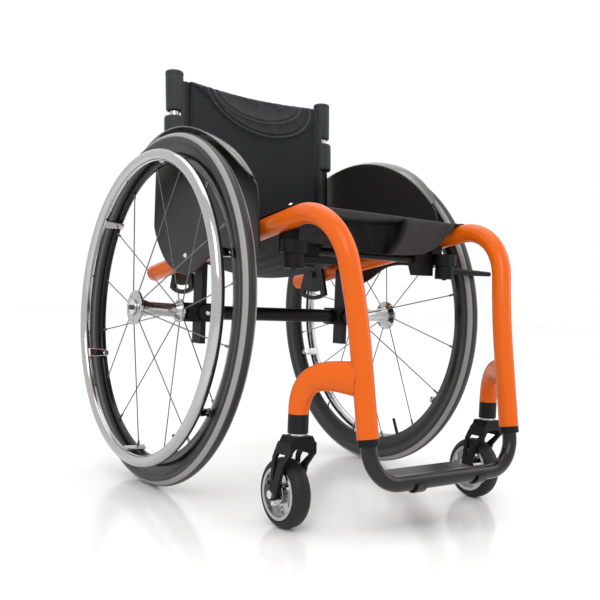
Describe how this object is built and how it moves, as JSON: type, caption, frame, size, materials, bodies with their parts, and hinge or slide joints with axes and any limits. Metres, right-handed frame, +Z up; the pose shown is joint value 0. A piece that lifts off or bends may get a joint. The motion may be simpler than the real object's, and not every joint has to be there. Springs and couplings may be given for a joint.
{
  "type": "sports wheelchair",
  "caption": "Rigid active wheelchair with cambered spoked wheels, bent tube frame, sling seat, fold-down back, side guards and swivel casters.",
  "frame": {"origin": "on the floor, under the middle of the chair's outline", "axes": "+Z up, -Y forward, +X to the rider's left"},
  "size_m": [0.5682, 0.7776, 0.7246],
  "materials": {
    "frame_paint": "gloss orange powder coat on aluminium tube",
    "black_metal": "satin black anodised",
    "black_plastic": "satin black moulded plastic",
    "bright_steel": "bright plated steel",
    "upper_tube": "bright drawn aluminium",
    "cloth": "black coated upholstery cloth",
    "guard_shell": "dark woven composite shell",
    "polished_aluminium": "polished",
    "rim_black": "gloss black with bright machined edges",
    "tyre_rubber": "smooth dark rubber"
  },
  "bodies": {
    "chassis": {"frame_right": "frame_paint", "frame_left": "frame_paint", "caster_arm_right": "frame_paint", "caster_arm_left": "frame_paint", "caster_housings": "black_metal", "caster_stem_bearings": "bright_steel", "footrest_tube": "black_metal", "footrest_collars": "black_plastic", "footplate": "black_plastic", "footplate_clamps": "black_plastic", "axle_tube": "black_metal", "axle_bars": "black_metal", "axle_clamps": "black_metal", "axle_receivers": "bright_steel", "axle_caps": "black_metal", "axle_pins": "bright_steel", "seat_sling": "cloth", "frame_screws": "bright_steel", "side_guard_right": "guard_shell", "side_guard_left": "guard_shell", "cross_bar": "black_metal", "brake_bodies": "black_plastic", "back_hinge_plates": "black_metal"},
    "wheel_right": {"tyre_right": "tyre_rubber", "inner_tube_right": "tyre_rubber", "rim_right": "rim_black", "spokes_right": "bright_steel", "hub_right": "polished_aluminium", "hub_bearings_right": "bright_steel", "handrim_right": "polished_aluminium", "handrim_screws_right": "bright_steel"},
    "swivel_right": {"caster_stem_right": "bright_steel", "caster_fork_right": "black_metal", "caster_axle_right": "bright_steel"},
    "caster_right": {"caster_core_right": "polished_aluminium", "caster_tyre_right": "tyre_rubber", "caster_bearings_right": "bright_steel"},
    "brake_right": {"brake_arm_right": "black_plastic"},
    "button_right": {"release_button_right": "black_plastic"},
    "wheel_left": {"tyre_left": "tyre_rubber", "inner_tube_left": "tyre_rubber", "rim_left": "rim_black", "spokes_left": "bright_steel", "hub_left": "polished_aluminium", "hub_bearings_left": "bright_steel", "handrim_left": "polished_aluminium", "handrim_screws_left": "bright_steel"},
    "swivel_left": {"caster_stem_left": "bright_steel", "caster_fork_left": "black_metal", "caster_axle_left": "bright_steel"},
    "caster_left": {"caster_core_left": "polished_aluminium", "caster_tyre_left": "tyre_rubber", "caster_bearings_left": "bright_steel"},
    "brake_left": {"brake_arm_left": "black_plastic"},
    "button_left": {"release_button_left": "black_plastic"},
    "backrest": {"back_posts": "black_metal", "back_tubes": "upper_tube", "back_brace": "black_metal", "back_upholstery": "cloth", "back_hinge_pins": "bright_steel"}
  },
  "joints": [
    {"name": "wheel_spin_right", "type": "hinge", "parent": "chassis", "child": "wheel_right", "pos_m": [-0.2285, 0.09181, 0.29478], "axis": [0.9992, 0, -0.0393], "continuous": true},
    {"name": "caster_swivel_right", "type": "hinge", "parent": "chassis", "child": "swivel_right", "pos_m": [-0.192, -0.27419, 0.15], "axis": [0, 0, 1], "continuous": true},
    {"name": "caster_spin_right", "type": "hinge", "parent": "swivel_right", "child": "caster_right", "pos_m": [-0.192, -0.24919, 0.05], "axis": [1, 0, 0], "continuous": true},
    {"name": "brake_swing_right", "type": "hinge", "parent": "chassis", "child": "brake_right", "pos_m": [-0.155, -0.19319, 0.37929], "axis": [0, 0, -1], "range_deg": [0, 162.5]},
    {"name": "release_press_right", "type": "slide", "parent": "chassis", "child": "button_right", "axis": [0.9992, 0, -0.0393], "range_m": [0, 0.004], "stiffness_N_per_m": 600},
    {"name": "wheel_spin_left", "type": "hinge", "parent": "chassis", "child": "wheel_left", "pos_m": [0.2285, 0.09181, 0.29478], "axis": [0.9992, 0, 0.0393], "continuous": true},
    {"name": "caster_swivel_left", "type": "hinge", "parent": "chassis", "child": "swivel_left", "pos_m": [0.192, -0.27419, 0.15], "axis": [0, 0, 1], "continuous": true},
    {"name": "caster_spin_left", "type": "hinge", "parent": "swivel_left", "child": "caster_left", "pos_m": [0.192, -0.24919, 0.05], "axis": [1, 0, 0], "continuous": true},
    {"name": "brake_swing_left", "type": "hinge", "parent": "chassis", "child": "brake_left", "pos_m": [0.155, -0.19319, 0.37929], "axis": [0, 0, 1], "range_deg": [-160, 2.5]},
    {"name": "release_press_left", "type": "slide", "parent": "chassis", "child": "button_left", "axis": [-0.9992, 0, -0.0393], "range_m": [0, 0.004], "stiffness_N_per_m": 600},
    {"name": "back_fold", "type": "hinge", "parent": "chassis", "child": "backrest", "pos_m": [0, 0.17581, 0.42828], "axis": [1, 0, 0], "range_deg": [0, 85]}
  ]
}
